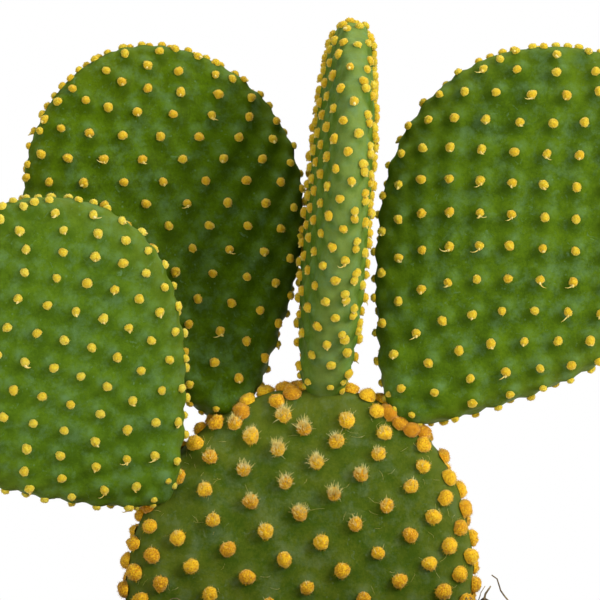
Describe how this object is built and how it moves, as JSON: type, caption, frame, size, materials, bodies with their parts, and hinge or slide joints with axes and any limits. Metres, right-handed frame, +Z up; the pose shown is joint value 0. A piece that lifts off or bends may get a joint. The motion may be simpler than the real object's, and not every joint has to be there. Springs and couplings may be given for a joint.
{
  "type": "potted paddle cactus",
  "caption": "Paddle cactus with flat oval pads in round golden barb tufts, young pads growing from an old one rooted in soil in a tapered clay pot.",
  "frame": {"origin": "middle of the pot's flat underside", "axes": "+Z up, the way the plant grows; +X to the picture's right; -Y to the front, where the picture was taken from"},
  "size_m": [0.1628, 0.12, 0.2187],
  "materials": {
    "clay": "matt unglazed fired clay",
    "soil": "crumbly damp potting soil",
    "old_skin": "velvety olive-green pad skin",
    "back_left_skin": "velvety green pad skin",
    "front_left_skin": "velvety green pad skin",
    "centre_skin": "velvety green pad skin",
    "right_skin": "velvety green pad skin"
  },
  "bodies": {
    "root": {"clay_pot": "clay", "potting_soil": "soil", "mother_pad": "old_skin", "back_left_pad": "back_left_skin", "front_left_pad": "front_left_skin", "centre_pad": "centre_skin", "right_pad": "right_skin"}
  },
  "joints": []
}
